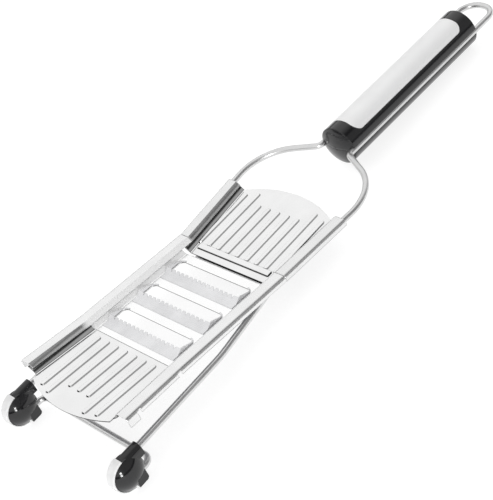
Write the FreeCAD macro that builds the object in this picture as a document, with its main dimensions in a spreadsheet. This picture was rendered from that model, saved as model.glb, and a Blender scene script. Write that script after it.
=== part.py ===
import FreeCAD, Part
import math
import os
import Sketcher

# Mandoline slicer lying on a table: handle toward +Y, feet toward -Y, +Z up.
# A bent wire frame carries the handle, the infeed tray and two feet. The slicing
# unit, three toothed blades with an outfeed tray, plugs on below the tray.

Vector = FreeCAD.Vector
document = FreeCAD.newDocument("mandoline_slicer")
dims = document.addObject("Spreadsheet::Sheet", "dims")

SIZES = {
    # wire frame
    "wire_diameter": 4.0,
    "wire_height": 18.5,
    "wire_gap": 0.1,
    "strand_half_gap": 11.9,
    "loop_reach": 26.0,
    "bow_exit": 4.75,
    "bow_exit_radius": 5.0,
    "bow_half_width": 48.5,
    "bow_corner": 25.75,
    "bow_radius": 34.0,
    "waist_half_width": 40.6,
    "waist_place": -63.25,
    "leg_half_width": 47.5,
    "leg_place": -116.0,
    "leg_bend_radius": 60.0,
    "foot_place": -197.0,
    "strand_drop": 14.0,
    "crossbar_place": -181.5,
    "crossbar_radius": 5.0,
    # handle
    "handle_front": 49.0,
    "handle_length": 130.0,
    "handle_radius": 13.3,
    "handle_dome": 3.0,
    "inlay_setback": 8.6,
    "inlay_length": 112.0,
    "inlay_wrap": 110.0,
    "inlay_thickness": 0.8,
    "inlay_corner": 5.0,
    "inlay_gap": 0.1,
    "peg_radius": 2.5,
    "peg_height": 4.0,
    "peg_gap": 0.1,
    "peg_spacing": 80.0,
    # folded plate
    "plate_thickness": 0.8,
    "bend_radius": 1.5,
    "lap_gap": 0.15,
    "floor_depth": 5.6,
    "floor_inset": 9.4,
    "flange_angle": 40.0,
    "flange_length": 6.6,
    "skirt_lap": 3.6,
    "rib_half_width": 1.7,
    "rib_height": 0.7,
    "rib_taper": 38.0,
    "rib_pitch": 8.0,
    "trim_margin": 5.0,
    # infeed side
    "upper_rail_half": 3.4,
    "upper_rail_rear": -4.5,
    "roll_radius": 2.4,
    "roll_end": 0.8,
    "infeed_rear": 4.75,
    "infeed_front": -61.3,
    "lip_place": -55.9,
    "lip_drop": 0.8,
    "lip_bend": 0.5,
    "lip_half_width": 29.6,
    "infeed_rib_front": -51.3,
    "short_rib_rear": -13.2,
    "side_rib_rear": -5.1,
    "outer_rib_rear": -8.5,
    "arc_radius": 75.0,
    "arc_half_chord": 36.0,
    # slicing unit
    "seam_place": -55.5,
    "seam_gap": 0.35,
    "seam_step": 0.2,
    "lower_rail_half": 3.8,
    "lower_roll_radius": 2.8,
    "skirt_height": 3.8,
    "blade_rise": 7.0,
    "outfeed_rise": 8.3,
    "kink_place": -139.0,
    "rail_end": -181.6,
    "rail_splay": 2.8,
    "piece_gap": 0.2,
    "notch_width": 2.6,
    "first_notch": -141.4,
    "second_notch": -172.9,
    "tab_height": 7.0,
    "bed_start": -62.0,
    "bed_roll_radius": 1.5,
    "bed_roll_run": 1.8,
    "tongue_half_width": 28.0,
    "tongue_reach": -49.0,
    "tongue_gap": 0.35,
    "slot_half_length": 29.4,
    "slot_width": 9.5,
    "slot_corner": 3.0,
    "first_slot": -70.2,
    "blade_pitch": 23.5,
    "blade_thickness": 0.6,
    "blade_half_length": 30.6,
    "blade_base": 4.0,
    "blade_setback": 13.4,
    "blade_reach": 3.4,
    "blade_lift": 2.8,
    "tooth_count": 16.0,
    "tooth_depth": 2.0,
    "cheek_thickness": 0.8,
    "outfeed_end": -193.4,
    "outfeed_flange_end": -182.4,
    "outfeed_rib_start": 4.6,
    "short_rib_end": 39.0,
    "middle_rib_end": 49.0,
    "outer_rib_end": 46.5,
    # feet
    "drum_radius": 10.3,
    "drum_half_width": 7.6,
    "drum_rim": 2.8,
    "sleeve_length": 12.9,
    "sleeve_width": 7.6,
    "lock_width": 9.0,
    "lock_length": 7.8,
    "lock_gap": 0.3,
    "lock_round": 2.0,
    "pad_radius": 11.4,
    "pad_half_width": 3.1,
    "pad_corner": 0.6,
    "pad_wrap": 172.0,
    "pad_start": 3.0,
}


def fill_sheet():
    for row, (name, size) in enumerate(SIZES.items(), start=1):
        cell = "A" + str(row)
        dims.set(cell, str(size))
        dims.setAlias(cell, name)
    document.recompute()


def value(expression):
    return float(dims.evalExpression(expression))


fill_sheet()

# Lines of the object that several pieces share.
WIRE_RADIUS = "dims.wire_diameter / 2"
UPPER_TOP = "(dims.wire_height + dims.wire_diameter / 2 + dims.wire_gap + dims.plate_thickness)"
LOWER_TOP = "(" + UPPER_TOP + " + dims.seam_step)"
LAP = "(dims.lap_gap + dims.plate_thickness)"
SHOULDER = (
    "-dims.floor_inset - " + LAP + " * sin(dims.flange_angle)"
    " + (dims.floor_depth - " + LAP + " * cos(dims.flange_angle)) / tan(dims.flange_angle)"
)
SKIRT_END = (
    "-dims.floor_inset + dims.skirt_lap * cos(dims.flange_angle) - " + LAP + " * sin(dims.flange_angle)",
    "-dims.floor_depth + dims.skirt_lap * sin(dims.flange_angle) + " + LAP + " * cos(dims.flange_angle)",
)
FLANGE_RUN = "dims.flange_length * cos(dims.flange_angle)"
FLANGE_TOP = "-dims.floor_depth + dims.flange_length * sin(dims.flange_angle)"
SPLAY = (
    "(dims.bow_half_width - dims.waist_half_width) / (dims.bow_corner - dims.waist_place)"
)
RAIL_AT_SEAM = "(dims.waist_half_width + (dims.seam_place - dims.waist_place) * " + SPLAY + ")"
INFEED_FLOOR = "(" + UPPER_TOP + " - dims.floor_depth)"
KINK_TOP = "(" + LOWER_TOP + " + (dims.seam_place - dims.kink_place) * tan(dims.blade_rise))"


# Drawing helpers.

def plane(body, role):
    for feature in body.Origin.OriginFeatures:
        if feature.Role == role:
            return feature


def body_sketch(body, name, role):
    sketch = body.newObject("Sketcher::SketchObject", name)
    sketch.AttachmentSupport = (plane(body, role), [""])
    sketch.MapMode = "FlatFace"
    return sketch


def free_sketch(name, base, axis=(1, 0, 0), angle=0):
    sketch = document.addObject("Sketcher::SketchObject", name)
    sketch.Placement = FreeCAD.Placement(Vector(*base), FreeCAD.Rotation(Vector(*axis), angle))
    return sketch


def bind(sketch, constraint, expression):
    index = sketch.addConstraint(constraint)
    sketch.setExpression("Constraints[" + str(index) + "]", expression)


def pin(sketch, geometry, position, point):
    for kind, expression in zip(("DistanceX", "DistanceY"), point):
        place = Sketcher.Constraint(kind, -1, 1, geometry, position, value(expression))
        bind(sketch, place, expression)


def polygon(sketch, points, arcs=None):
    """Closed outline through pinned points; arcs maps a side to its radius expression."""
    arcs = arcs or {}
    corners = [Vector(value(across), value(along), 0) for across, along in points]
    count = len(corners)
    first = sketch.GeometryCount
    for side in range(count):
        start = corners[side]
        end = corners[(side + 1) % count]
        if side in arcs:
            sketch.addGeometry(bulged(start, end, value(arcs[side])), False)
        else:
            sketch.addGeometry(Part.LineSegment(start, end), False)
    tips = [arc_tips(sketch, first + side, corners[side]) for side in range(count)]
    for side in range(count):
        after = (side + 1) % count
        joint = Sketcher.Constraint("Coincident", first + side, tips[side][1], first + after, tips[after][0])
        sketch.addConstraint(joint)
        pin(sketch, first + side, tips[side][0], points[side])
        if side in arcs:
            size = value("abs(" + arcs[side] + ")")
            bind(sketch, Sketcher.Constraint("Radius", first + side, size), "abs(" + arcs[side] + ")")


def arc_tips(sketch, geometry, start):
    """Which ends of a side are its start and its end."""
    if sketch.getPoint(geometry, 1).distanceToPoint(start) < 1e-6:
        return 1, 2
    return 2, 1


def bulged(start, end, radius):
    """Arc from start to end that bulges to the right of the way it runs."""
    chord = end - start
    outward = Vector(chord.y, -chord.x, 0).normalize()
    sagitta = abs(radius) - math.sqrt(radius ** 2 - (chord.Length / 2) ** 2)
    if radius < 0:
        sagitta = -sagitta
    return Part.Arc(start, start + chord / 2 + outward * sagitta, end)


def circle(sketch, radius, centre):
    place = Vector(value(centre[0]), value(centre[1]), 0)
    geometry = sketch.addGeometry(Part.Circle(place, Vector(0, 0, 1), value(radius)), False)
    bind(sketch, Sketcher.Constraint("Radius", geometry, value(radius)), radius)
    pin(sketch, geometry, 3, centre)


def bent_line(sketch, points, bends):
    """Open line through pinned corners, each rounded by its bend radius."""
    corners = [Vector(value(across), value(up), 0) for across, up in points]
    starts = [corners[0]]
    ends = []
    rounds = []
    for corner, bend in zip(range(1, len(corners) - 1), bends):
        arc, near, far = rounded(corners[corner - 1], corners[corner], corners[corner + 1], value(bend))
        rounds.append(arc)
        ends.append(near)
        starts.append(far)
    ends.append(corners[-1])
    lines = []
    for start, end in zip(starts, ends):
        lines.append(sketch.addGeometry(Part.LineSegment(start, end), False))
    for turn, arc in enumerate(rounds):
        geometry = sketch.addGeometry(arc, False)
        near, far = arc_tips(sketch, geometry, ends[turn])
        sketch.addConstraint(Sketcher.Constraint("Tangent", lines[turn], 2, geometry, near))
        sketch.addConstraint(Sketcher.Constraint("Tangent", geometry, far, lines[turn + 1], 1))
        bind(sketch, Sketcher.Constraint("Radius", geometry, value(bends[turn])), bends[turn])
        mark = sketch.addGeometry(Part.Point(corners[turn + 1]), True)
        sketch.addConstraint(Sketcher.Constraint("PointOnObject", mark, 1, lines[turn]))
        sketch.addConstraint(Sketcher.Constraint("PointOnObject", mark, 1, lines[turn + 1]))
        pin(sketch, mark, 1, points[turn + 1])
    pin(sketch, lines[0], 1, points[0])
    pin(sketch, lines[-1], 2, points[-1])


def rounded(before, corner, after, radius):
    """Arc that rounds a corner, with its near and far ends."""
    back = (before - corner).normalize()
    ahead = (after - corner).normalize()
    half = back.getAngle(ahead) / 2
    reach = radius / math.tan(half)
    middle = corner + (back + ahead).normalize() * (radius / math.sin(half) - radius)
    near = corner + back * reach
    far = corner + ahead * reach
    return Part.Arc(near, middle, far), near, far


def band(name, line, thickness):
    """Strip of plate between a line and its offset."""
    strip = document.addObject("Part::Offset2D", name)
    strip.Source = line
    strip.Fill = True
    strip.Mode = "Skin"
    strip.Join = "Intersection"
    strip.setExpression("Value", thickness)
    return strip


def extrusion(name, base, direction, length):
    solid = document.addObject("Part::Extrusion", name)
    solid.Base = base
    solid.DirMode = "Custom"
    solid.Dir = Vector(*direction)
    solid.Solid = True
    solid.setExpression("LengthFwd", length)
    return solid


def mirrored(name, source):
    twin = document.addObject("Part::Mirroring", name)
    twin.Source = source
    twin.Normal = Vector(1, 0, 0)
    return twin


def fused(name, pieces):
    whole = document.addObject("Part::MultiFuse", name)
    whole.Shapes = pieces
    whole.Refine = True
    return whole


def cut(name, base, tool):
    rest = document.addObject("Part::Cut", name)
    rest.Base = base
    rest.Tool = tool
    rest.Refine = True
    return rest


def common(name, pieces):
    overlap = document.addObject("Part::MultiCommon", name)
    overlap.Shapes = pieces
    overlap.Refine = True
    return overlap


def new_body(name):
    body = document.addObject("PartDesign::Body", name)
    body.Label = name
    return body


def pad(body, name, sketch, length, midplane=False, reverse=False):
    feature = body.newObject("PartDesign::Pad", name)
    feature.Profile = sketch
    feature.setExpression("Length", length)
    feature.Midplane = midplane
    feature.Reversed = reverse
    return feature


def pocket_through(body, name, sketch):
    feature = body.newObject("PartDesign::Pocket", name)
    feature.Profile = sketch
    feature.Type = "ThroughAll"
    feature.Midplane = True
    return feature


def turned(body, kind, name, sketch, axis, angle, midplane):
    feature = body.newObject("PartDesign::" + kind, name)
    feature.Profile = sketch
    feature.ReferenceAxis = (sketch, [axis])
    feature.setExpression("Angle", angle)
    feature.Midplane = midplane
    return feature


# Wire frame: one rod bent into a closed loop, drawn as a right half and mirrored.

def wire_corners():
    slope = value("tan(asin((dims.wire_height - dims.handle_radius) / (dims.bow_exit + dims.handle_length)))")
    exit_place = value("dims.handle_front - dims.bow_exit")
    loop_place = value("dims.handle_front + dims.handle_length + dims.loop_reach")
    loop_height = value("dims.wire_height") - (loop_place - exit_place) * slope
    strand = value("dims.strand_half_gap")
    height = value("dims.wire_height")
    low = value("dims.wire_height - dims.strand_drop")
    leg = value("dims.leg_half_width")
    nose = value("dims.foot_place - dims.strand_drop / 2")
    crossbar = value("dims.crossbar_place")
    foot_bend = value("dims.strand_drop / 2")
    return [
        (Vector(0, loop_place, loop_height), 0),
        (Vector(strand, loop_place, loop_height), strand - 0.5),
        (Vector(strand, exit_place, height), value("dims.bow_exit_radius")),
        (Vector(value("dims.bow_half_width"), value("dims.bow_corner"), height), value("dims.bow_radius")),
        (Vector(value("dims.waist_half_width"), value("dims.waist_place"), height), value("dims.leg_bend_radius")),
        (Vector(leg, value("dims.leg_place"), height), value("dims.leg_bend_radius")),
        (Vector(leg, nose, height), foot_bend - 0.001),
        (Vector(leg, nose, low), foot_bend - 0.001),
        (Vector(leg, crossbar, low), value("dims.crossbar_radius")),
        (Vector(0, crossbar, low), 0),
    ]


def make_wire_frame():
    corners = wire_corners()
    edges = []
    place = corners[0][0]
    for turn in range(1, len(corners) - 1):
        corner, radius = corners[turn]
        arc, near, far = rounded(corners[turn - 1][0], corner, corners[turn + 1][0], radius)
        edges.append(Part.LineSegment(place, near).toShape())
        edges.append(arc.toShape())
        place = far
    edges.append(Part.LineSegment(place, corners[-1][0]).toShape())
    path = document.addObject("Part::Feature", "wire_path")
    path.Shape = Part.Wire(edges)
    section = document.addObject("Part::Circle", "wire_section")
    section.setExpression("Radius", WIRE_RADIUS)
    section.Placement = FreeCAD.Placement(corners[0][0], FreeCAD.Rotation(Vector(0, 0, 1), Vector(1, 0, 0)))
    half = document.addObject("Part::Sweep", "wire_half")
    half.Sections = [section]
    half.Spine = (path, ["Edge" + str(number + 1) for number in range(len(edges))])
    half.Solid = True
    half.Frenet = False
    twin = mirrored("wire_half_twin", half)
    return fused("wire_frame", [half, twin])


# Handle: two moulded half shells closed round the two strands, a steel panel let into the top.

HANDLE_SLOPE = "asin((dims.wire_height - dims.handle_radius) / (dims.bow_exit + dims.handle_length))"
HANDLE_REAR = "dims.bow_exit + dims.handle_length"


def place_on_handle(body):
    start = Vector(0, value("dims.handle_front - dims.bow_exit"), value("dims.wire_height"))
    body.Placement = FreeCAD.Placement(start, FreeCAD.Rotation(Vector(1, 0, 0), -value(HANDLE_SLOPE)))


def half_round(body, side):
    """Half of the domed round bar, above or below the split."""
    outline = body_sketch(body, body.Label + "_outline", "YZ_Plane")
    dome = "(dims.handle_radius ^ 2 + dims.handle_dome ^ 2) / (2 * dims.handle_dome)"
    radius = side + "dims.handle_radius"
    turn = "" if side == "" else "-"
    polygon(
        outline,
        [
            ("dims.bow_exit - dims.handle_dome", "0"),
            ("dims.bow_exit", radius),
            (HANDLE_REAR, radius),
            (HANDLE_REAR + " + dims.handle_dome", "0"),
        ],
        {0: turn + "(-" + dome + ")", 2: turn + "(-" + dome + ")"},
    )
    turned(body, "Revolution", body.Label + "_round", outline, "H_Axis", "180", True)


def strand_grooves(body):
    section = body_sketch(body, body.Label + "_groove_section", "XZ_Plane")
    groove = WIRE_RADIUS + " + dims.wire_gap"
    circle(section, groove, ("dims.strand_half_gap", "0"))
    circle(section, groove, ("-dims.strand_half_gap", "0"))
    pocket_through(body, body.Label + "_grooves", section)


def peg_circles(body, radius):
    marks = body_sketch(body, body.Label + "_peg_marks", "XY_Plane")
    middle = "dims.bow_exit + dims.handle_length / 2"
    circle(marks, radius, ("0", middle + " + dims.peg_spacing / 2"))
    circle(marks, radius, ("0", middle + " - dims.peg_spacing / 2"))
    return marks


def inlay_form(name, inner, outer, spare):
    """Curved panel with rounded corners, lying between two radii on top of the handle."""
    body = new_body(name)
    front = "dims.bow_exit + dims.inlay_setback - " + spare
    rear = "dims.bow_exit + dims.inlay_setback + dims.inlay_length + " + spare
    section = body_sketch(body, name + "_section", "YZ_Plane")
    polygon(section, [(front, inner), (rear, inner), (rear, outer), (front, outer)])
    turned(body, "Revolution", name + "_round", section, "H_Axis", "180", True)
    surround = body_sketch(body, name + "_surround", "XY_Plane")
    wide = "2 * dims.handle_radius"
    polygon(
        surround,
        [
            ("-" + wide, front + " - dims.trim_margin"),
            (wide, front + " - dims.trim_margin"),
            (wide, rear + " + dims.trim_margin"),
            ("-" + wide, rear + " + dims.trim_margin"),
        ],
    )
    rounded_rectangle(
        surround,
        "(dims.handle_radius * sin(dims.inlay_wrap / 2) + " + spare + ")",
        front,
        rear,
        "(dims.inlay_corner + " + spare + ")",
    )
    pocket_through(body, name + "_trim", surround)
    place_on_handle(body)
    return body


def rounded_rectangle(sketch, half, front, rear, corner):
    polygon(
        sketch,
        [
            ("-" + half + " + " + corner, front),
            (half + " - " + corner, front),
            (half, front + " + " + corner),
            (half, rear + " - " + corner),
            (half + " - " + corner, rear),
            ("-" + half + " + " + corner, rear),
            ("-" + half, rear + " - " + corner),
            ("-" + half, front + " + " + corner),
        ],
        {1: corner, 3: corner, 5: corner, 7: corner},
    )


def make_handle():
    blank = new_body("upper_shell_blank")
    half_round(blank, "")
    strand_grooves(blank)
    sockets = blank.newObject("PartDesign::Pocket", "peg_sockets")
    sockets.Profile = peg_circles(blank, "dims.peg_radius + dims.peg_gap")
    sockets.setExpression("Length", "dims.peg_height + dims.lap_gap")
    sockets.Reversed = True
    place_on_handle(blank)
    depth = "dims.handle_radius - dims.inlay_thickness - dims.inlay_gap"
    recess = inlay_form("inlay_recess", depth, "dims.handle_radius + 1", "dims.inlay_gap")
    upper = cut("handle_upper_shell", blank, recess)

    lower = new_body("handle_lower_shell")
    half_round(lower, "-")
    strand_grooves(lower)
    pad(lower, "pegs", peg_circles(lower, "dims.peg_radius"), "dims.peg_height")
    place_on_handle(lower)

    inlay = inlay_form("handle_inlay", "dims.handle_radius - dims.inlay_thickness", "dims.handle_radius", "0")
    return [upper, lower, inlay]


# Upper rails: edges of plate rolled round the wires.

def rail_direction():
    splay = value(SPLAY)
    return Vector(splay, 1, 0).normalize()


def make_upper_rails():
    start = value("dims.seam_place + dims.seam_gap")
    across = value(RAIL_AT_SEAM) + value("dims.seam_gap") * value(SPLAY)
    line = free_sketch("upper_rail_line", (across, start, value(UPPER_TOP)), (1, 0, 0), 90)
    under = "-(dims.wire_diameter + 2 * dims.wire_gap + 2 * dims.plate_thickness)"
    bent_line(
        line,
        [
            ("-dims.roll_end", under),
            ("dims.upper_rail_half", under),
            ("dims.upper_rail_half", "0"),
            (SHOULDER, "0"),
            SKIRT_END,
        ],
        ["dims.roll_radius", "dims.roll_radius", "dims.bend_radius"],
    )
    strip = band("upper_rail_band", line, "dims.plate_thickness")
    length = "(dims.upper_rail_rear - dims.seam_place - dims.seam_gap) * sqrt(1 + (" + SPLAY + ") ^ 2)"
    right = extrusion("right_upper_rail", strip, rail_direction(), length)
    left = mirrored("left_upper_rail", right)
    return [left, right]


# Infeed tray: floor with turned-up sides that lie under the rails' inner skirts.

def half_floor(name, base, overlap):
    """Half of a tray section: floor from past the middle to the edge, then the sloping side."""
    line = free_sketch(name, base, (1, 0, 0), 90)
    bent_line(
        line,
        [
            (overlap, "-dims.floor_depth"),
            ("-dims.floor_inset", "-dims.floor_depth"),
            ("-dims.floor_inset + " + FLANGE_RUN, FLANGE_TOP),
        ],
        ["dims.bend_radius"],
    )
    return line


def rib(sketch, across, low, high):
    """One embossed rib with round ends."""
    half = "dims.rib_half_width"
    polygon(
        sketch,
        [
            (across + " + " + half, low),
            (across + " + " + half, high),
            (across + " - " + half, high),
            (across + " - " + half, low),
        ],
        {1: half + " * 1.0001", 3: half + " * 1.0001"},
    )


def rib_block(name, sketch, direction):
    """Ribs with sloping sides, standing on the floor."""
    block = extrusion(name, sketch, direction, "dims.rib_height")
    block.setExpression("TaperAngle", "-dims.rib_taper")
    return block


def make_infeed_tray():
    front = value("dims.infeed_front")
    across = value(RAIL_AT_SEAM) + (front - value("dims.seam_place")) * value(SPLAY)
    top = value(UPPER_TOP)
    line = half_floor("infeed_line", (across, front, top), "-dims.waist_half_width - dims.rib_pitch")
    strip = band("infeed_band", line, "-dims.plate_thickness")
    length = "(dims.infeed_rear - dims.infeed_front) * sqrt(1 + (" + SPLAY + ") ^ 2)"
    half = extrusion("infeed_half", strip, rail_direction(), length)
    sheet = fused("infeed_sheet", [half, mirrored("infeed_half_twin", half)])
    outline = free_sketch("infeed_outline", (0, 0, 0))
    side = "dims.bow_half_width"
    chord = "dims.arc_half_chord"
    end = "dims.infeed_rear - dims.arc_radius + sqrt(dims.arc_radius ^ 2 - dims.arc_half_chord ^ 2)"
    polygon(
        outline,
        [
            ("-" + side, "dims.infeed_front"),
            (side, "dims.infeed_front"),
            (side, end),
            (chord, end),
            ("-" + chord, end),
            ("-" + side, end),
        ],
        {3: "dims.arc_radius"},
    )
    keep = extrusion("infeed_keep", outline, (0, 0, 1), "2 * dims.wire_height")
    trimmed = common("infeed_trimmed", [sheet, keep])
    marks = free_sketch("infeed_rib_marks", (0, 0, value(INFEED_FLOOR)))
    rears = {3: "dims.side_rib_rear", 4: "dims.outer_rib_rear"}
    for step in range(-4, 5):
        rear = rears.get(abs(step), "dims.short_rib_rear")
        rib(marks, str(step) + " * dims.rib_pitch", "dims.infeed_rib_front", rear)
    ribs = rib_block("infeed_ribs", marks, (0, 0, 1))
    window = document.addObject("Part::Box", "lip_window")
    window.setExpression("Length", "2 * dims.lip_half_width")
    window.setExpression("Width", "dims.lip_place - dims.infeed_front + dims.trim_margin")
    window.setExpression("Height", "2 * dims.trim_margin")
    window.setExpression("Placement.Base.x", "-dims.lip_half_width")
    window.setExpression("Placement.Base.y", "dims.infeed_front - dims.trim_margin")
    window.setExpression("Placement.Base.z", INFEED_FLOOR + " - dims.trim_margin")
    opened = cut("infeed_opened", trimmed, window)
    return fused("infeed_tray", [opened, ribs] + make_lip())


def make_lip():
    """Front lip of the infeed floor, pressed down one step so that the bed follows on level."""
    line = free_sketch("lip_line", (0, 0, 0), (1, 1, 1), 120)
    low = INFEED_FLOOR + " - dims.lip_drop"
    bent_line(
        line,
        [
            ("dims.lip_place + 4 * dims.lip_drop", INFEED_FLOOR),
            ("dims.lip_place", INFEED_FLOOR),
            ("dims.lip_place - dims.lip_drop", low),
            ("dims.infeed_front", low),
        ],
        ["dims.lip_bend", "dims.lip_bend"],
    )
    strip = band("lip_band", line, "dims.plate_thickness")
    right = extrusion("lip_right", strip, (1, 0, 0), "dims.lip_half_width")
    return [right, mirrored("lip_left", right)]


# Slicing unit, lower rails: folded channels saddled over the wires, notched where they bend.

def lower_direction():
    return Vector(value("tan(dims.rail_splay)"), -1, value("tan(dims.outfeed_rise)")).normalize()


def blade_direction():
    return Vector(0, -1, value("tan(dims.blade_rise)")).normalize()


def lower_length(run):
    return "(" + run + ") * sqrt(1 + tan(dims.rail_splay) ^ 2 + tan(dims.outfeed_rise) ^ 2)"


def skirt_cutter(name, place):
    block = document.addObject("Part::Box", name)
    block.setExpression("Length", "3 * dims.lower_rail_half")
    block.setExpression("Width", "dims.notch_width")
    block.setExpression("Height", "2 * dims.tab_height")
    beyond = value("dims.kink_place") - place
    across = value(RAIL_AT_SEAM) + beyond * value("tan(dims.rail_splay)")
    top = value(KINK_TOP) + beyond * value("tan(dims.outfeed_rise)")
    half = value("dims.lower_rail_half - dims.plate_thickness - dims.seam_gap")
    bottom = top - value("dims.bend_radius") - value("2 * dims.tab_height")
    block.Placement.Base = Vector(across + half, place - value("dims.notch_width / 2"), bottom)
    return block


def make_lower_rails():
    corner = (value(RAIL_AT_SEAM), value("dims.kink_place"), value(KINK_TOP))
    line = free_sketch("lower_rail_line", corner, (1, 0, 0), 90)
    half = "dims.lower_rail_half"
    bent_line(
        line,
        [(half, "-dims.skirt_height"), (half, "0"), (SHOULDER, "0"), SKIRT_END],
        ["dims.lower_roll_radius", "dims.bend_radius"],
    )
    strip = band("lower_rail_band", line, "dims.plate_thickness")
    back = "(dims.seam_place - dims.kink_place) / cos(dims.blade_rise)"
    upper = extrusion("lower_rail_blade_part", strip, -blade_direction(), back)
    ahead = lower_length("dims.kink_place - dims.rail_end")
    lower = extrusion("lower_rail_outfeed_part", strip, lower_direction(), ahead)
    tab_section = free_sketch("end_tab_section", corner, (1, 0, 0), 90)
    inner = "dims.lower_rail_half - dims.plate_thickness"
    polygon(
        tab_section,
        [
            (inner, "-dims.tab_height"),
            (half, "-dims.tab_height"),
            (half, "-dims.lower_roll_radius"),
            (inner, "-dims.lower_roll_radius"),
        ],
    )
    tab_bar = extrusion("end_tab_bar", tab_section, lower_direction(), ahead)
    clear = document.addObject("Part::Box", "end_tab_clear")
    clear.setExpression("Length", "2 * dims.leg_half_width")
    clear.setExpression("Width", "dims.kink_place - dims.second_notch + dims.trim_margin")
    clear.setExpression("Height", "3 * dims.wire_height")
    clear.Placement.Base = Vector(0, value("dims.second_notch"), 0)
    tab = cut("end_tab", tab_bar, clear)
    rail = fused("lower_rail_plain", [upper, lower, tab])
    notches = fused(
        "rail_notches",
        [
            skirt_cutter("first_notch_block", value("dims.first_notch")),
            skirt_cutter("second_notch_block", value("dims.second_notch")),
        ],
    )
    right = cut("right_lower_rail", rail, notches)
    left = mirrored("left_lower_rail", right)
    return [left, right]


# Slicing unit, blade bed: plate with three slots and a tongue that goes under the infeed tray.

def bed_height(place):
    """Height of the bed's upper face above the table."""
    return "(" + LOWER_TOP + " - dims.floor_depth + (dims.seam_place - (" + place + ")) * tan(dims.blade_rise))"


def tongue_height(place):
    """Height of the tongue's upper face, which runs parallel to the bed just under the tray's front lip."""
    lip = INFEED_FLOOR + " - dims.lip_drop - dims.plate_thickness - dims.tongue_gap"
    return lip + " + (dims.infeed_front - (" + place + ")) * tan(dims.blade_rise)"


def make_tongue():
    line = free_sketch("tongue_line", (0, 0, 0), (1, 1, 1), 120)
    turn = "dims.bed_start - dims.bed_roll_run"
    start = turn + " - 2 * dims.bed_roll_radius"
    foot = "dims.bed_start"
    end = "dims.tongue_reach"
    bent_line(
        line,
        [
            (start, bed_height(start)),
            (turn, bed_height(turn)),
            (foot, tongue_height(foot)),
            (end, tongue_height(end)),
        ],
        ["dims.bed_roll_radius", "dims.bed_roll_radius"],
    )
    strip = band("tongue_band", line, "dims.plate_thickness")
    right = extrusion("tongue_right", strip, (1, 0, 0), "dims.tongue_half_width")
    return [right, mirrored("tongue_left", right)]


def make_blade_bed():
    start = "dims.bed_start - dims.bed_roll_run - dims.piece_gap"
    line = free_sketch("bed_line", (0, value(start), value(bed_height(start))), (1, 0, 0), 90)
    edge = RAIL_AT_SEAM + " - dims.floor_inset"
    rim = edge + " + " + FLANGE_RUN
    lift = "dims.flange_length * sin(dims.flange_angle)"
    bent_line(
        line,
        [("-(" + rim + ")", lift), ("-(" + edge + ")", "0"), (edge, "0"), (rim, lift)],
        ["dims.bend_radius", "dims.bend_radius"],
    )
    strip = band("bed_band", line, "-dims.plate_thickness")
    run = "(" + start + " - dims.kink_place - dims.piece_gap) / cos(dims.blade_rise)"
    plate = extrusion("bed_plate", strip, blade_direction(), run)
    whole = fused("bed_whole", [plate] + make_tongue())
    openings = free_sketch("slot_outlines", (0, 0, 0))
    for number in range(3):
        top = "dims.first_slot - " + str(number) + " * dims.blade_pitch"
        slot_outline(openings, top)
    cutter = extrusion("slot_cutter", openings, (0, 0, 1), "3 * dims.wire_height")
    return cut("blade_bed", whole, cutter)


def slot_outline(sketch, top):
    """Slot with its two handle-side corners rounded."""
    half = "dims.slot_half_length"
    corner = "dims.slot_corner"
    polygon(
        sketch,
        [
            ("-" + half, top + " - dims.slot_width"),
            (half, top + " - dims.slot_width"),
            (half, top + " - " + corner),
            (half + " - " + corner, top),
            ("-" + half + " + " + corner, top),
            ("-" + half, top + " - " + corner),
        ],
        {2: corner, 4: corner},
    )


# Slicing unit, toothed blades: bent strips whose teeth point to the handle over each slot.

BLADE_ANGLE = "atan(dims.blade_lift / dims.blade_reach)"
BLADE_HEEL = "-dims.blade_thickness * tan(" + BLADE_ANGLE + " / 2)"
BLADE_TIP = "dims.blade_reach - dims.blade_thickness * sin(" + BLADE_ANGLE + ")"
BLADE_TOP = "dims.blade_lift + dims.blade_thickness * cos(" + BLADE_ANGLE + ")"

def make_blade(number):
    name = "toothed_blade_" + str(number + 1)
    body = new_body(name)
    profile = body_sketch(body, name + "_profile", "YZ_Plane")
    thick = "dims.blade_thickness"
    run = "dims.blade_reach"
    lift = "dims.blade_lift"
    polygon(
        profile,
        [
            ("-dims.blade_base", "0"),
            ("0", "0"),
            (run, lift),
            (BLADE_TIP, BLADE_TOP),
            (BLADE_HEEL, thick),
            ("-dims.blade_base", thick),
        ],
    )
    pad(body, name + "_strip", profile, "2 * dims.blade_half_length", True)
    toothed = cut_teeth(body, name)
    add_cheeks(body, name, toothed)
    place = value("dims.first_slot - dims.blade_setback") - number * value("dims.blade_pitch")
    height = value(bed_height(str(place)))
    body.Placement = FreeCAD.Placement(
        Vector(0, place, height), FreeCAD.Rotation(Vector(1, 0, 0), -value("dims.blade_rise"))
    )
    return body


def cut_teeth(body, name):
    gap = body_sketch(body, name + "_tooth_gap", "XY_Plane")
    pitch = "(2 * dims.slot_half_length / dims.tooth_count)"
    first = "-dims.slot_half_length + " + pitch
    tip = "dims.blade_reach + 0.5"
    polygon(
        gap,
        [
            (first + " - 0.42 * " + pitch, tip),
            (first, "dims.blade_reach - dims.tooth_depth"),
            (first + " + 0.42 * " + pitch, tip),
        ],
    )
    notch = pocket_through(body, name + "_notch", gap)
    row = body.newObject("PartDesign::LinearPattern", name + "_teeth")
    row.Originals = [notch]
    row.Direction = (gap, ["H_Axis"])
    row.setExpression("Length", pitch + " * (dims.tooth_count - 2)")
    row.setExpression("Occurrences", "dims.tooth_count - 1")
    body.Tip = row
    return row


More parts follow.
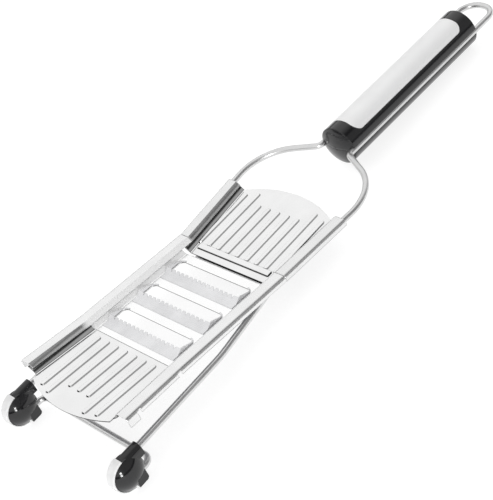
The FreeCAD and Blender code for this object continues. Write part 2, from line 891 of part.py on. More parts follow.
def add_cheeks(body, name, toothed):
    """Curved end walls that carry the blade's ends down to the bed in front of the slot."""
    plan = body_sketch(body, name + "_cheek_plan", "XY_Plane")
    outer = "dims.blade_half_length"
    inner = "dims.blade_half_length - dims.cheek_thickness"
    reach = "dims.blade_setback + dims.cheek_thickness + dims.piece_gap"
    turn = "(dims.slot_corner + dims.blade_half_length - dims.slot_half_length)"
    for side in ("", "-"):
        bulge = "" if side == "" else "-"
        polygon(
            plan,
            [
                (side + "(" + inner + ")", "-dims.blade_base + 0.5"),
                (side + "(" + outer + ")", "-dims.blade_base + 0.5"),
                (side + "(" + outer + ")", reach + " - " + turn),
                (side + "(" + outer + " - " + turn + ")", reach),
                (side + "(" + outer + " - " + turn + ")", reach + " - dims.cheek_thickness"),
                (side + "(" + inner + ")", reach + " - " + turn),
            ],
            {2: bulge + turn, 4: bulge + "(-(" + turn + " - dims.cheek_thickness))"},
        )
    pad(body, name + "_cheeks", plan, "dims.blade_lift + 0.6 * dims.blade_thickness")
    side_view = body_sketch(body, name + "_cheek_slope", "YZ_Plane")
    high = "dims.blade_lift + dims.blade_thickness"
    polygon(
        side_view,
        [
            ("dims.blade_reach", high + " + 2"),
            ("dims.blade_reach", high),
            ("dims.blade_setback", "dims.cheek_thickness / 2"),
            ("dims.blade_setback + 3", "dims.cheek_thickness / 2"),
            ("dims.blade_setback + 3", high + " + 2"),
        ],
    )
    pocket_through(body, name + "_slope", side_view)
    back_view = body_sketch(body, name + "_back_slope", "YZ_Plane")
    polygon(
        back_view,
        [
            ("-dims.blade_base - 1", "dims.blade_thickness"),
            (BLADE_HEEL, "dims.blade_thickness"),
            (BLADE_TIP, BLADE_TOP),
            (BLADE_TIP, high + " + 2"),
            ("-dims.blade_base - 1", high + " + 2"),
        ],
    )
    pocket_through(body, name + "_back", back_view)


# Slicing unit, outfeed tray: ribbed floor with a rounded end.

def make_outfeed_tray():
    drop = value("dims.piece_gap")
    start = value("dims.kink_place") - drop
    across = value(RAIL_AT_SEAM) + drop * value("tan(dims.rail_splay)")
    top = value(KINK_TOP) + drop * value("tan(dims.outfeed_rise)")
    line = half_floor("outfeed_line", (across, start, top), "-dims.waist_half_width - dims.rib_pitch")
    strip = band("outfeed_band", line, "-dims.plate_thickness")
    half = extrusion("outfeed_half", strip, lower_direction(), lower_length("dims.kink_place - dims.outfeed_end"))
    sheet = fused("outfeed_sheet", [half, mirrored("outfeed_half_twin", half)])
    outline = free_sketch("outfeed_outline", (0, 0, 0))
    side = "dims.bow_half_width"
    chord = "(dims.arc_half_chord - 2)"
    end = "dims.outfeed_end + dims.arc_radius - sqrt(dims.arc_radius ^ 2 - " + chord + " ^ 2)"
    polygon(
        outline,
        [
            ("-" + side, "dims.kink_place + dims.trim_margin"),
            ("-" + side, "dims.outfeed_flange_end"),
            ("-" + chord, "dims.outfeed_flange_end"),
            ("-" + chord, end),
            (chord, end),
            (chord, "dims.outfeed_flange_end"),
            (side, "dims.outfeed_flange_end"),
            (side, "dims.kink_place + dims.trim_margin"),
        ],
        {3: "dims.arc_radius"},
    )
    keep = extrusion("outfeed_keep", outline, (0, 0, 1), "4 * dims.wire_height")
    trimmed = common("outfeed_trimmed", [sheet, keep])
    floor = Vector(0, start, top - value("dims.floor_depth"))
    tilt = -value("dims.outfeed_rise")
    marks = free_sketch("outfeed_rib_marks", floor, (1, 0, 0), tilt)
    ends = {2: "-dims.middle_rib_end", 3: "-dims.outer_rib_end"}
    for step in range(-3, 4):
        end = ends.get(abs(step), "-dims.short_rib_end")
        rib(marks, str(step) + " * dims.rib_pitch", end, "-dims.outfeed_rib_start")
    normal = FreeCAD.Rotation(Vector(1, 0, 0), tilt).multVec(Vector(0, 0, 1))
    ribs = rib_block("outfeed_ribs", marks, normal)
    return fused("outfeed_tray", [trimmed, ribs])


# Feet: a moulded shell over each end bend of the wire, a lock block below it and a soft pad round the nose.

def place_foot(body, turn=0):
    centre = Vector(
        value("dims.leg_half_width"),
        value("dims.foot_place"),
        value("dims.wire_height - dims.strand_drop / 2"),
    )
    body.Placement = FreeCAD.Placement(centre, FreeCAD.Rotation(Vector(1, 0, 0), turn))


BORE = WIRE_RADIUS + " + dims.wire_gap"
STRAND = "dims.strand_drop / 2"


def strand_bore(body, height):
    section = body_sketch(body, body.Label + "_bore_section", "XZ_Plane")
    circle(section, BORE, ("0", height))
    bore = body.newObject("PartDesign::Pocket", body.Label + "_bore")
    bore.Profile = section
    bore.setExpression("Length", "dims.sleeve_length + 2")
    return bore


def make_foot_shell():
    body = new_body("right_foot_shell")
    outline = body_sketch(body, "drum_outline", "XZ_Plane")
    bulge = "(dims.drum_half_width - dims.drum_rim)"
    cheek = "(dims.drum_radius ^ 2 + " + bulge + " ^ 2) / (2 * " + bulge + ")"
    polygon(
        outline,
        [
            ("-dims.drum_half_width", "0"),
            ("dims.drum_half_width", "0"),
            ("dims.drum_rim", "dims.drum_radius"),
            ("-dims.drum_rim", "dims.drum_radius"),
        ],
        {1: cheek, 3: cheek},
    )
    turned(body, "Revolution", "drum", outline, "H_Axis", "360", False)
    section = body_sketch(body, "sleeve_section", "XZ_Plane")
    half = "dims.sleeve_width / 2"
    polygon(
        section,
        [
            ("-" + half, STRAND + " - " + half),
            (half, STRAND + " - " + half),
            (half, STRAND),
            ("-" + half, STRAND),
        ],
        {2: half + " * 1.0001"},
    )
    pad(body, "sleeve", section, "dims.sleeve_length", False, True)
    pocket_view = body_sketch(body, "lock_pocket_view", "YZ_Plane")
    polygon(
        pocket_view,
        [
            ("0", "-dims.drum_radius - 2"),
            ("dims.drum_radius + 2", "-dims.drum_radius - 2"),
            ("dims.drum_radius + 2", "-" + STRAND + " / 2 + dims.lock_gap"),
            ("0", "-" + STRAND + " / 2 + dims.lock_gap"),
        ],
    )
    pocket_through(body, "lock_pocket", pocket_view)
    ring = body_sketch(body, "bend_section", "XZ_Plane")
    circle(ring, BORE, ("0", STRAND))
    turned(body, "Groove", "bend_channel", ring, "H_Axis", "180", False)
    strand_bore(body, STRAND)
    place_foot(body)
    return body


def make_foot_lock():
    body = new_body("right_foot_lock")
    view = body_sketch(body, "lock_view", "YZ_Plane")
    bottom = "-(dims.wire_height - " + STRAND + ")"
    polygon(
        view,
        [
            ("dims.lock_gap", bottom),
            ("dims.lock_length - dims.lock_round", bottom),
            ("dims.lock_length", bottom + " + dims.lock_round"),
            ("dims.lock_length", "-" + STRAND + " / 2"),
            ("dims.lock_gap", "-" + STRAND + " / 2"),
        ],
        {1: "dims.lock_round"},
    )
    pad(body, "lock_block", view, "dims.lock_width", True)
    strand_bore(body, "-" + STRAND)
    place_foot(body)
    return body


def make_foot_pad():
    body = new_body("right_foot_pad")
    section = body_sketch(body, "pad_section", "XZ_Plane")
    half = "dims.pad_half_width"
    inner = "dims.drum_radius + dims.lap_gap"
    outer = "dims.pad_radius"
    corner = "dims.pad_corner"
    polygon(
        section,
        [
            ("-" + half, inner),
            (half, inner),
            (half, outer + " - " + corner),
            (half + " - " + corner, outer),
            ("-" + half + " + " + corner, outer),
            ("-" + half, outer + " - " + corner),
        ],
        {2: corner, 4: corner},
    )
    turned(body, "Revolution", "pad_ring", section, "H_Axis", "dims.pad_wrap", False)
    place_foot(body, value("dims.pad_start"))
    return body


def make_feet():
    nodes = []
    for right in (make_foot_shell(), make_foot_lock(), make_foot_pad()):
        nodes.append(mirrored(right.Label.replace("right", "left"), right))
        nodes.append(right)
    return nodes


def check(nodes):
    document.recompute()
    for thing in document.Objects:
        if "Invalid" in thing.State or "Error" in thing.State:
            raise RuntimeError("not built: " + thing.Label)
    for node in nodes:
        if node.Shape.isNull() or not node.Shape.isValid():
            raise RuntimeError("bad shape: " + node.Label)


def main():
    nodes = [make_wire_frame()]
    nodes += make_handle()
    nodes += make_upper_rails()
    nodes.append(make_infeed_tray())
    nodes += make_lower_rails()
    nodes.append(make_blade_bed())
    nodes += [make_blade(number) for number in range(3)]
    nodes.append(make_outfeed_tray())
    nodes += make_feet()
    check(nodes)
    os.makedirs("parts", exist_ok=True)
    for node in nodes:
        node.Shape.exportStep("parts/" + node.Label + ".step")


main()
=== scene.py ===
import math

import bpy
from mathutils import Matrix, Vector


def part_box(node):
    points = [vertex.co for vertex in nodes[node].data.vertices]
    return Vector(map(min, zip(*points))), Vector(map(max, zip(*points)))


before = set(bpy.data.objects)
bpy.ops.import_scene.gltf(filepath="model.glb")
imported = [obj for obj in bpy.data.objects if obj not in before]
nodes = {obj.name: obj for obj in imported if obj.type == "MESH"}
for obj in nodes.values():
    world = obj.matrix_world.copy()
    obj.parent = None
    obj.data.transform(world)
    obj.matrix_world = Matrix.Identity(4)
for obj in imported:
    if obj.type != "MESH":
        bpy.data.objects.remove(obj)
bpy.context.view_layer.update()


# Wire frame. One polished stainless rod, bent into a closed loop that makes the
# hanging loop, the bow, the legs and the crossbar. Drawing marks run along it.
NOISE_LOW = 0.3
NOISE_HIGH = 0.7
NOISE_ROUGHNESS = 0.6
RELIEF_DEPTH = 0.0001
EDGE_SAMPLES = 6
STEEL_CLOUDS = (60.0, 45.0, 60.0)
STEEL_CLOUD_DETAIL = 2.0
STEEL_MARK_DETAIL = 4.0


def grain(tree, stretch, detail):
    """Noise in the part's own space, with as many marks to the metre each way as stretch says."""
    place = tree.nodes.new("ShaderNodeTexCoord")
    mapping = tree.nodes.new("ShaderNodeMapping")
    mapping.inputs["Scale"].default_value = stretch
    noise = tree.nodes.new("ShaderNodeTexNoise")
    noise.inputs["Scale"].default_value = 1.0
    noise.inputs["Detail"].default_value = detail
    noise.inputs["Roughness"].default_value = NOISE_ROUGHNESS
    tree.links.new(place.outputs["Object"], mapping.inputs["Vector"])
    tree.links.new(mapping.outputs["Vector"], noise.inputs["Vector"])
    return noise


def tinted(tree, source, dark, light):
    """Colour that wanders between dark and light with a noise."""
    blend = tree.nodes.new("ShaderNodeValToRGB")
    blend.color_ramp.elements[0].position = NOISE_LOW
    blend.color_ramp.elements[1].position = NOISE_HIGH
    blend.color_ramp.elements[0].color = (*dark, 1.0)
    blend.color_ramp.elements[1].color = (*light, 1.0)
    tree.links.new(source.outputs["Fac"], blend.inputs["Fac"])
    return blend


def polish(tree, source, smooth, rough):
    """Roughness that wanders between smooth and rough with a noise."""
    limits = tree.nodes.new("ShaderNodeMapRange")
    limits.inputs["From Min"].default_value = NOISE_LOW
    limits.inputs["From Max"].default_value = NOISE_HIGH
    limits.inputs["To Min"].default_value = smooth
    limits.inputs["To Max"].default_value = rough
    tree.links.new(source.outputs["Fac"], limits.inputs["Value"])
    return limits


def skin(tree, source, strength, edge):
    """Fine relief from a noise, over edges that are broken by a small radius."""
    corner = tree.nodes.new("ShaderNodeBevel")
    corner.samples = EDGE_SAMPLES
    corner.inputs["Radius"].default_value = edge
    bump = tree.nodes.new("ShaderNodeBump")
    bump.inputs["Strength"].default_value = strength
    bump.inputs["Distance"].default_value = RELIEF_DEPTH
    tree.links.new(source.outputs["Fac"], bump.inputs["Height"])
    tree.links.new(corner.outputs["Normal"], bump.inputs["Normal"])
    return bump


def worked_steel(name, dark, light, smooth, rough, stretch, relief, edge):
    """Stainless steel with marks along the way it was drawn, rolled or ground."""
    material = bpy.data.materials.new(name)
    material.use_nodes = True
    tree = material.node_tree
    shader = tree.nodes["Principled BSDF"]
    shader.inputs["Metallic"].default_value = 1.0
    marks = grain(tree, stretch, STEEL_MARK_DETAIL)
    clouds = grain(tree, STEEL_CLOUDS, STEEL_CLOUD_DETAIL)
    tint = tinted(tree, clouds, dark, light)
    finish = polish(tree, marks, smooth, rough)
    relief_marks = skin(tree, marks, relief, edge)
    tree.links.new(tint.outputs["Color"], shader.inputs["Base Color"])
    tree.links.new(finish.outputs["Result"], shader.inputs["Roughness"])
    tree.links.new(relief_marks.outputs["Normal"], shader.inputs["Normal"])
    return material


def dress(names, material):
    """Give kept pieces their finish."""
    for name in names:
        nodes[name].data.materials.clear()
        nodes[name].data.materials.append(material)


drawn_wire = worked_steel(
    "drawn_wire",
    dark=(0.62, 0.62, 0.62),
    light=(0.70, 0.70, 0.70),
    smooth=0.26,
    rough=0.34,
    stretch=(1500.0, 60.0, 1500.0),
    relief=0.03,
    edge=0.0001,
)
dress(["wire_frame"], drawn_wire)


# Handle shells. Two halves moulded in glossy black plastic, closed round the two
# strands of the wire and held together by pegs inside.
BLACK_DARK = (0.010, 0.010, 0.011)
BLACK_LIGHT = (0.013, 0.013, 0.014)
BLACK_SHINE = 0.42
BLACK_COAT = 0.2
BLACK_COAT_ROUGHNESS = 0.06
BLACK_HAZE = (300.0, 300.0, 300.0)
BLACK_HAZE_DETAIL = 3.0
MOULD_TEXTURE = (2600.0, 2600.0, 2600.0)
MOULD_DETAIL = 2.0
MOULD_RELIEF = 0.01


def black_plastic(name, smooth, rough, edge):
    """Moulded plastic with a faint haze and a fine moulding texture."""
    material = bpy.data.materials.new(name)
    material.use_nodes = True
    tree = material.node_tree
    shader = tree.nodes["Principled BSDF"]
    shader.inputs["Specular IOR Level"].default_value = BLACK_SHINE
    shader.inputs["Coat Weight"].default_value = BLACK_COAT
    shader.inputs["Coat Roughness"].default_value = BLACK_COAT_ROUGHNESS
    haze = grain(tree, BLACK_HAZE, BLACK_HAZE_DETAIL)
    texture = grain(tree, MOULD_TEXTURE, MOULD_DETAIL)
    tint = tinted(tree, haze, BLACK_DARK, BLACK_LIGHT)
    finish = polish(tree, haze, smooth, rough)
    relief = skin(tree, texture, MOULD_RELIEF, edge)
    tree.links.new(tint.outputs["Color"], shader.inputs["Base Color"])
    tree.links.new(finish.outputs["Result"], shader.inputs["Roughness"])
    tree.links.new(relief.outputs["Normal"], shader.inputs["Normal"])
    return material


handle_black = black_plastic("handle_black", smooth=0.12, rough=0.16, edge=0.0012)
dress(["handle_upper_shell", "handle_lower_shell"], handle_black)


# Handle panel. A curved strip of satin stainless steel let into the upper shell,
# flush with it, brushed along the handle.
PANEL_METAL = 0.25
satin_panel = worked_steel(
    "satin_panel",
    dark=(0.90, 0.90, 0.90),
    light=(0.94, 0.94, 0.94),
    smooth=0.46,
    rough=0.56,
    stretch=(1400.0, 25.0, 1400.0),
    relief=0.10,
    edge=0.0003,
)
satin_panel.node_tree.nodes["Principled BSDF"].inputs["Metallic"].default_value = PANEL_METAL
dress(["handle_inlay"], satin_panel)


# Upper rails. Bright stainless sheet, rolled round the two wires and spot welded to
# the sides of the infeed tray. The faces that look down are painted darker as painted
# shade, and rolling has left the inner walls a little hollow.
# Painted shade laid on the faces that look down.
UNDERSIDE_SHADE_TINT = (0.30, 0.30, 0.31)
DOWN_NONE = -0.2
DOWN_FULL = -0.5
INWARD_NONE = -0.005
INWARD_FULL = -0.020
HOLLOW_WIDTH = 0.0050
HOLLOW_DEPTH = 0.00034
HOLLOW_RISE = 0.0014
# Radians that the wave node counts to a metre at a scale of 1.
WAVE_NODE_RATE = 20.0
LOWEST_PHASE = 1.5 * math.pi


def turned(tree, way, none, full):
    """Share that goes from 0 to 1 as a face turns to look down or forward."""
    surface = tree.nodes.new("ShaderNodeNewGeometry")
    ways = tree.nodes.new("ShaderNodeSeparateXYZ")
    share = tree.nodes.new("ShaderNodeMapRange")
    share.inputs["From Min"].default_value = none
    share.inputs["From Max"].default_value = full
    tree.links.new(surface.outputs["True Normal"], ways.inputs["Vector"])
    tree.links.new(ways.outputs[way], share.inputs["Value"])
    return share.outputs["Result"]


def cover(material, share, tint):
    """Lay another tint over a piece's own by a share from 0 to 1."""
    tree = material.node_tree
    base = tree.nodes["Principled BSDF"].inputs["Base Color"]
    own_tint = base.links[0].from_socket
    mix = tree.nodes.new("ShaderNodeMix")
    mix.data_type = "RGBA"
    mix.inputs["B"].default_value = (*tint, 1.0)
    tree.links.new(share, mix.inputs["Factor"])
    tree.links.new(own_tint, mix.inputs["A"])
    tree.links.new(mix.outputs["Result"], base)


def paint_underside_shade(material):
    """Paint shade on the faces that look down."""
    cover(material, turned(material.node_tree, "Z", DOWN_NONE, DOWN_FULL), UNDERSIDE_SHADE_TINT)


def place_parts(tree):
    """Place on the part, taken apart into X, Y and Z."""
    place = tree.nodes.new("ShaderNodeTexCoord")
    parts = tree.nodes.new("ShaderNodeSeparateXYZ")
    tree.links.new(place.outputs["Object"], parts.inputs["Vector"])
    return parts


def product(tree, first, second):
    """Two shares or heights multiplied."""
    times = tree.nodes.new("ShaderNodeMath")
    times.operation = "MULTIPLY"
    tree.links.new(first, times.inputs[0])
    tree.links.new(second, times.inputs[1])
    return times.outputs["Value"]


def inner_walls(tree, parts):
    """Share that is 1 on the walls that face the middle of the tool and 0 elsewhere."""
    surface = tree.nodes.new("ShaderNodeNewGeometry")
    ways = tree.nodes.new("ShaderNodeSeparateXYZ")
    inward = tree.nodes.new("ShaderNodeMapRange")
    inward.inputs["From Min"].default_value = INWARD_NONE
    inward.inputs["From Max"].default_value = INWARD_FULL
    tree.links.new(surface.outputs["Normal"], ways.inputs["Vector"])
    tree.links.new(product(tree, ways.outputs["X"], parts.outputs["X"]), inward.inputs["Value"])
    return inward.outputs["Result"]


def hollow_walls(material, slope, middle):
    """Hollow the inner walls a little, at a height over a sloping floor."""
    tree = material.node_tree
    normal = tree.nodes["Principled BSDF"].inputs["Normal"]
    relief = normal.links[0].from_socket
    place = tree.nodes.new("ShaderNodeTexCoord")
    level = tree.nodes.new("ShaderNodeMapping")
    level.inputs["Rotation"].default_value = (slope, 0.0, 0.0)
    radians_per_metre = 2.0 * math.pi / HOLLOW_WIDTH
    wave = tree.nodes.new("ShaderNodeTexWave")
    wave.bands_direction = "Z"
    wave.inputs["Scale"].default_value = radians_per_metre / WAVE_NODE_RATE
    wave.inputs["Phase Offset"].default_value = LOWEST_PHASE - radians_per_metre * (middle + HOLLOW_RISE)
    tree.links.new(place.outputs["Object"], level.inputs["Vector"])
    tree.links.new(level.outputs["Vector"], wave.inputs["Vector"])
    inward = inner_walls(tree, place_parts(tree))
    bump = tree.nodes.new("ShaderNodeBump")
    bump.inputs["Distance"].default_value = HOLLOW_DEPTH
    tree.links.new(product(tree, wave.outputs["Fac"], inward), bump.inputs["Height"])
    tree.links.new(relief, bump.inputs["Normal"])
    tree.links.new(bump.outputs["Normal"], normal)


rolled_rail = worked_steel(
    "rolled_rail",
    dark=(0.76, 0.76, 0.76),
    light=(0.81, 0.81, 0.81),
    smooth=0.24,
    rough=0.30,
    stretch=(900.0, 30.0, 900.0),
    relief=0.02,
    edge=0.0008,
)
infeed_low, infeed_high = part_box("infeed_tray")
infeed_middle = (infeed_low[2] + infeed_high[2]) / 2
# Painted shade on the faces of the upper rails that look down.
paint_underside_shade(rolled_rail)
hollow_walls(rolled_rail, 0.0, infeed_middle)
dress(["left_upper_rail", "right_upper_rail"], rolled_rail)


# Lower rails. Bright stainless sheet, folded into channels that saddle the wires and
# spot welded to the bed and the outfeed tray. The inner walls beside the blades get a
# satin finish and are painted lighter as painted light; the tops and the stretch by the outfeed tray
# stay bright.
UNIT_SLOPE = math.radians(7.0)
SATIN_METAL = 0.05
SATIN_ROUGH = 0.42
# Painted light: the lighter tint laid on the satin inner walls.
PAINTED_WALL_LIGHT = (0.96, 0.96, 0.96)
SATIN_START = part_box("outfeed_tray")[1][1]
SATIN_FADE = 0.005


def satin_and_painted_light_walls(material):
    """Give the inner walls of a polished piece a satin finish and paint them lighter, from the outfeed
    tray on towards the handle.
    """
    tree = material.node_tree
    shader = tree.nodes["Principled BSDF"]
    finish = shader.inputs["Roughness"].links[0].from_socket
    parts = place_parts(tree)
    along = tree.nodes.new("ShaderNodeMapRange")
    along.inputs["From Min"].default_value = SATIN_START - SATIN_FADE
    along.inputs["From Max"].default_value = SATIN_START
    tree.links.new(parts.outputs["Y"], along.inputs["Value"])
    share = product(tree, inner_walls(tree, parts), along.outputs["Result"])
    metal = tree.nodes.new("ShaderNodeMapRange")
    metal.inputs["To Min"].default_value = 1.0
    metal.inputs["To Max"].default_value = SATIN_METAL
    tree.links.new(share, metal.inputs["Value"])
    tree.links.new(metal.outputs["Result"], shader.inputs["Metallic"])
    rough = tree.nodes.new("ShaderNodeMix")
    rough.inputs["B"].default_value = SATIN_ROUGH
    tree.links.new(share, rough.inputs["Factor"])
    tree.links.new(finish, rough.inputs["A"])
    tree.links.new(rough.outputs["Result"], shader.inputs["Roughness"])
    cover(material, share, PAINTED_WALL_LIGHT)


folded_rail = worked_steel(
    "folded_rail",
    dark=(0.80, 0.80, 0.80),
    light=(0.85, 0.85, 0.85),
    smooth=0.24,
    rough=0.30,
    stretch=(900.0, 30.0, 900.0),
    relief=0.02,
    edge=0.0008,
)
outfeed_heights = [
    math.sin(UNIT_SLOPE) * corner.co.y + math.cos(UNIT_SLOPE) * corner.co.z
    for corner in nodes["outfeed_tray"].data.vertices
]
outfeed_middle = (min(outfeed_heights) + max(outfeed_heights)) / 2
# Painted shade on the faces of the lower rails that look down.
paint_underside_shade(folded_rail)
hollow_walls(folded_rail, UNIT_SLOPE, outfeed_middle)
# Satin finish on the inner walls of the lower rails, painted lighter as painted light.
satin_and_painted_light_walls(folded_rail)
dress(["left_lower_rail", "right_lower_rail"], folded_rail)


# Trays. Bright stainless sheet with pressed ribs that keep wet food from sticking,
# cut round at the outer ends and turned up at the sides. The inside corners carry painted
# shade, the edges and bends that look forward are painted dark as painted shade, and the faces that look
# down carry painted shade too.
CORNER_REACH = 0.0020
CORNER_NONE = 0.85
CORNER_FULL = 0.50
CORNER_SAMPLES = 8
# Painted shade: the tint laid into the inside corners.
CORNER_SHADE_TINT = (0.10, 0.10, 0.10)
FRONT_NONE = -0.40
FRONT_FULL = -0.55
# Painted shade laid on the tray edges and bends that look forward.
TRAY_FRONT_SHADE = (0.06, 0.06, 0.06)


def paint_corner_shade(material):
    """Paint shade into the inside corners."""
    tree = material.node_tree
    corner = tree.nodes.new("ShaderNodeAmbientOcclusion")
    corner.samples = CORNER_SAMPLES
    corner.inputs["Distance"].default_value = CORNER_REACH
    share = tree.nodes.new("ShaderNodeMapRange")
    share.inputs["From Min"].default_value = CORNER_NONE
    share.inputs["From Max"].default_value = CORNER_FULL
    tree.links.new(corner.outputs["AO"], share.inputs["Value"])
    cover(material, share.outputs["Result"], CORNER_SHADE_TINT)


def paint_front_shade(material, tint):
    """Paint shade on the edges and bends that look forward."""
    cover(material, turned(material.node_tree, "Y", FRONT_NONE, FRONT_FULL), tint)


tray_floors = {"infeed_tray": (0.0, infeed_middle), "outfeed_tray": (UNIT_SLOPE, outfeed_middle)}
for tray_name, (tray_slope, tray_middle) in tray_floors.items():
    pressed_tray = worked_steel(
        tray_name,
        dark=(0.80, 0.80, 0.80),
        light=(0.85, 0.85, 0.85),
        smooth=0.10,
        rough=0.15,
        stretch=(700.0, 700.0, 700.0),
        relief=0.015,
        edge=0.0002,
    )
    # Painted shade on the faces of the tray that look down.
    paint_underside_shade(pressed_tray)
    hollow_walls(pressed_tray, tray_slope, tray_middle)
    # Painted shade in the inside corners of the tray.
    paint_corner_shade(pressed_tray)
    # Painted shade on the tray edges and bends that look forward.
    paint_front_shade(pressed_tray, TRAY_FRONT_SHADE)
    dress([tray_name], pressed_tray)


# Blade bed. Bright stainless sheet pierced by the three slots, with a satin finish on its side
# walls that are also painted lighter, its front edge rolled down into the tongue that goes under the
# infeed tray.
# Its edges that look forward and its faces that look down carry painted shade.
# Painted shade laid on the bed edges that look forward.
BED_FRONT_SHADE = (0.22, 0.22, 0.22)
bright_bed = worked_steel(
    "bright_bed",
    dark=(0.94, 0.94, 0.94),
    light=(0.97, 0.97, 0.97),
    smooth=0.18,
    rough=0.26,
    stretch=(60.0, 900.0, 900.0),
    relief=0.02,
    edge=0.0003,
)
# Painted shade on the faces of the bed that look down.
paint_underside_shade(bright_bed)
# Satin finish on the side walls of the bed, painted lighter as painted light.
satin_and_painted_light_walls(bright_bed)
# Painted shade on the bed edges that look forward.
paint_front_shade(bright_bed, BED_FRONT_SHADE)
dress(["blade_bed"], bright_bed)


# Blades. Bent strips of hardened stainless steel, ground across their teeth and
# welded to the bed behind each slot.
ground_blade = worked_steel(
    "ground_blade",
    dark=(0.66, 0.66, 0.67),
    light=(0.78, 0.78, 0.79),
    smooth=0.20,
    rough=0.34,
    stretch=(60.0, 1800.0, 1800.0),
    relief=0.08,
    edge=0.0002,
)
dress(["toothed_blade_1", "toothed_blade_2", "toothed_blade_3"], ground_blade)


# Feet. A black moulded shell over each end bend of the wire, with a lock block
# of the same plastic below it.
foot_black = black_plastic("foot_black", smooth=0.10, rough=0.14, edge=0.0004)
dress(["left_foot_shell", "right_foot_shell", "left_foot_lock", "right_foot_lock"], foot_black)


# Foot pads. Milky soft rubber moulded round the nose of each foot, so that the
# tool doesn't slip or scratch.
SOFT_DEPTH = 0.002
SOFT_SHARE = 0.5
SOFT_SPREAD = (1.0, 1.0, 1.0)
SOFT_CLOUDS = (250.0, 250.0, 250.0)
SOFT_CLOUD_DETAIL = 3.0
soft_white = bpy.data.materials.new("soft_white")
soft_white.use_nodes = True
soft_tree = soft_white.node_tree
soft_shader = soft_tree.nodes["Principled BSDF"]
soft_shader.inputs["Subsurface Weight"].default_value = SOFT_SHARE
soft_shader.inputs["Subsurface Radius"].default_value = SOFT_SPREAD
soft_shader.inputs["Subsurface Scale"].default_value = SOFT_DEPTH
soft_cloud = grain(soft_tree, SOFT_CLOUDS, SOFT_CLOUD_DETAIL)
soft_tint = tinted(soft_tree, soft_cloud, dark=(0.78, 0.78, 0.78), light=(0.85, 0.85, 0.85))
soft_finish = polish(soft_tree, soft_cloud, smooth=0.36, rough=0.50)
soft_tree.links.new(soft_tint.outputs["Color"], soft_shader.inputs["Base Color"])
soft_tree.links.new(soft_finish.outputs["Result"], soft_shader.inputs["Roughness"])
dress(["left_foot_pad", "right_foot_pad"], soft_white)


# Floor. A light table: a wide sheet of matt white acrylic, lit softly from below,
# a hair under the feet.
FLOOR_SIZE = 6.0
FLOOR_DROP = 0.0003
FLOOR_GLOW = 0.80
FLOOR_ROUGH = 0.9
FLOOR_CLOUDS = (40.0, 40.0, 40.0)
FLOOR_CLOUD_DETAIL = 3.0
bpy.ops.mesh.primitive_plane_add(size=FLOOR_SIZE, location=(0, 0, -FLOOR_DROP))
floor = bpy.context.object
floor.name = "floor"
acrylic = bpy.data.materials.new("acrylic")
acrylic.use_nodes = True
acrylic_tree = acrylic.node_tree
acrylic_shader = acrylic_tree.nodes["Principled BSDF"]
acrylic_shader.inputs["Roughness"].default_value = FLOOR_ROUGH
acrylic_shader.inputs["Emission Color"].default_value = (1.0, 1.0, 1.0, 1.0)
acrylic_shader.inputs["Emission Strength"].default_value = FLOOR_GLOW
acrylic_cloud = grain(acrylic_tree, FLOOR_CLOUDS, FLOOR_CLOUD_DETAIL)
acrylic_tint = tinted(acrylic_tree, acrylic_cloud, dark=(0.32, 0.32, 0.32), light=(0.34, 0.34, 0.34))
acrylic_tree.links.new(acrylic_tint.outputs["Color"], acrylic_shader.inputs["Base Color"])
floor.data.materials.append(acrylic)


# Tent. A white tent over the table, grey on the right side and with one dark gap in
# it, which the polished walls on the left mirror.
TENT_STRENGTH = 1.05
SIDE_WAY = Vector((0.80, 0.42, 0.42)).normalized()
SIDE_EDGE = 0.45
SIDE_MIDDLE = 0.85
SIDE_GREY = 0.36
GAP_WAY = Vector((0.46, 0.445, 0.765)).normalized()
GAP_EDGE = 0.975
GAP_MIDDLE = 0.992
GAP_GREY = 0.06
world = bpy.data.worlds.new("studio")
bpy.context.scene.world = world
world.use_nodes = True
sky_tree = world.node_tree
sky = sky_tree.nodes["Background"]
sky.inputs["Strength"].default_value = TENT_STRENGTH
sky_way = sky_tree.nodes.new("ShaderNodeTexCoord")


def sky_cap(way, edge, middle, grey):
    """Darken the tent round one way, between two cosines of the angle from it."""
    angle = sky_tree.nodes.new("ShaderNodeVectorMath")
    angle.operation = "DOT_PRODUCT"
    angle.inputs[1].default_value = way
    blend = sky_tree.nodes.new("ShaderNodeValToRGB")
    blend.color_ramp.interpolation = "EASE"
    blend.color_ramp.elements[0].position = edge
    blend.color_ramp.elements[1].position = middle
    blend.color_ramp.elements[0].color = (1.0, 1.0, 1.0, 1.0)
    blend.color_ramp.elements[1].color = (grey, grey, grey, 1.0)
    sky_tree.links.new(sky_way.outputs["Generated"], angle.inputs[0])
    sky_tree.links.new(angle.outputs["Value"], blend.inputs["Fac"])
    return blend


sky_side = sky_cap(SIDE_WAY, SIDE_EDGE, SIDE_MIDDLE, SIDE_GREY)
sky_gap = sky_cap(GAP_WAY, GAP_EDGE, GAP_MIDDLE, GAP_GREY)
sky_shade = sky_tree.nodes.new("ShaderNodeMix")
sky_shade.data_type = "RGBA"
sky_shade.blend_type = "MULTIPLY"
sky_shade.inputs["Factor"].default_value = 1.0
sky_tree.links.new(sky_side.outputs["Color"], sky_shade.inputs["A"])
sky_tree.links.new(sky_gap.outputs["Color"], sky_shade.inputs["B"])
sky_tree.links.new(sky_shade.outputs["Result"], sky.inputs["Color"])


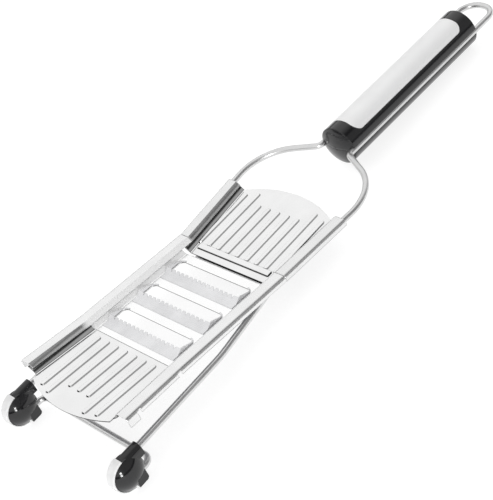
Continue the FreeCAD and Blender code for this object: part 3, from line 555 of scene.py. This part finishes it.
# Curtain. A low ring of dark matt cloth round the table, out of the picture, which
# gives the steel and the plastic a dark horizon to mirror.
CURTAIN_RADIUS = 2.6
CURTAIN_HEIGHT = 0.45
CURTAIN_FOLDS = (8.0, 8.0, 1.0)
CURTAIN_FOLD_DETAIL = 2.0
bpy.ops.mesh.primitive_cylinder_add(
    radius=CURTAIN_RADIUS,
    depth=CURTAIN_HEIGHT,
    end_fill_type="NOTHING",
    location=(0, 0, CURTAIN_HEIGHT / 2),
)
curtain = bpy.context.object
curtain.name = "dark_curtain"
curtain.visible_camera = False
cloth = bpy.data.materials.new("curtain")
cloth.use_nodes = True
cloth_tree = cloth.node_tree
cloth_shader = cloth_tree.nodes["Principled BSDF"]
cloth_shader.inputs["Roughness"].default_value = 1.0
cloth_folds = grain(cloth_tree, CURTAIN_FOLDS, CURTAIN_FOLD_DETAIL)
cloth_tint = tinted(cloth_tree, cloth_folds, dark=(0.05, 0.05, 0.05), light=(0.07, 0.07, 0.07))
cloth_tree.links.new(cloth_tint.outputs["Color"], cloth_shader.inputs["Base Color"])
curtain.data.materials.append(cloth)


# Lamps. Two small square lamps in front on the right, which put a gloss on the
# black plastic.
LAMP_WAYS = {"upper_lamp": (0.74, -0.55, 0.30), "lower_lamp": (0.74, -0.56, 0.12)}
LAMP_DISTANCE = 1.2
LAMP_SIZE = 0.15
LAMP_POWER = 2.0
for lamp_name, lamp_way in LAMP_WAYS.items():
    lamp_data = bpy.data.lights.new(lamp_name, "AREA")
    lamp_data.size = LAMP_SIZE
    lamp_data.energy = LAMP_POWER
    lamp = bpy.data.objects.new(lamp_name, lamp_data)
    bpy.context.scene.collection.objects.link(lamp)
    lamp.location = Vector(lamp_way).normalized() * LAMP_DISTANCE
    lamp.rotation_euler = lamp.location.to_track_quat("Z", "Y").to_euler()


# Camera. Placed where the photograph was taken from, with the tool lying flat and
# the camera itself turned about its own line of sight.
IMAGE_WIDTH = 493.0
FOCAL_PIXELS = 1300.0
SENSOR = 36.0
CAMERA_PLACE = (0.507014, -0.350432, 0.510784)
AZIMUTH = math.radians(58.841)
ELEVATION = math.radians(39.986)
ROLL = math.radians(-25.088)
level_right = Vector((math.cos(AZIMUTH), math.sin(AZIMUTH), 0.0))
camera_back = Vector(
    (
        math.sin(AZIMUTH) * math.cos(ELEVATION),
        -math.cos(AZIMUTH) * math.cos(ELEVATION),
        math.sin(ELEVATION),
    )
)
level_up = camera_back.cross(level_right)
camera_right = level_right * math.cos(ROLL) + level_up * math.sin(ROLL)
camera_up = level_up * math.cos(ROLL) - level_right * math.sin(ROLL)
camera_data = bpy.data.cameras.new("camera")
camera_data.sensor_fit = "HORIZONTAL"
camera_data.sensor_width = SENSOR
camera_data.lens = FOCAL_PIXELS / IMAGE_WIDTH * SENSOR
camera = bpy.data.objects.new("camera", camera_data)
bpy.context.scene.collection.objects.link(camera)
turn = Matrix((camera_right, camera_up, camera_back)).transposed().to_4x4()
camera.matrix_world = Matrix.Translation(CAMERA_PLACE) @ turn
bpy.context.scene.camera = camera
bpy.context.scene.view_settings.view_transform = "Standard"
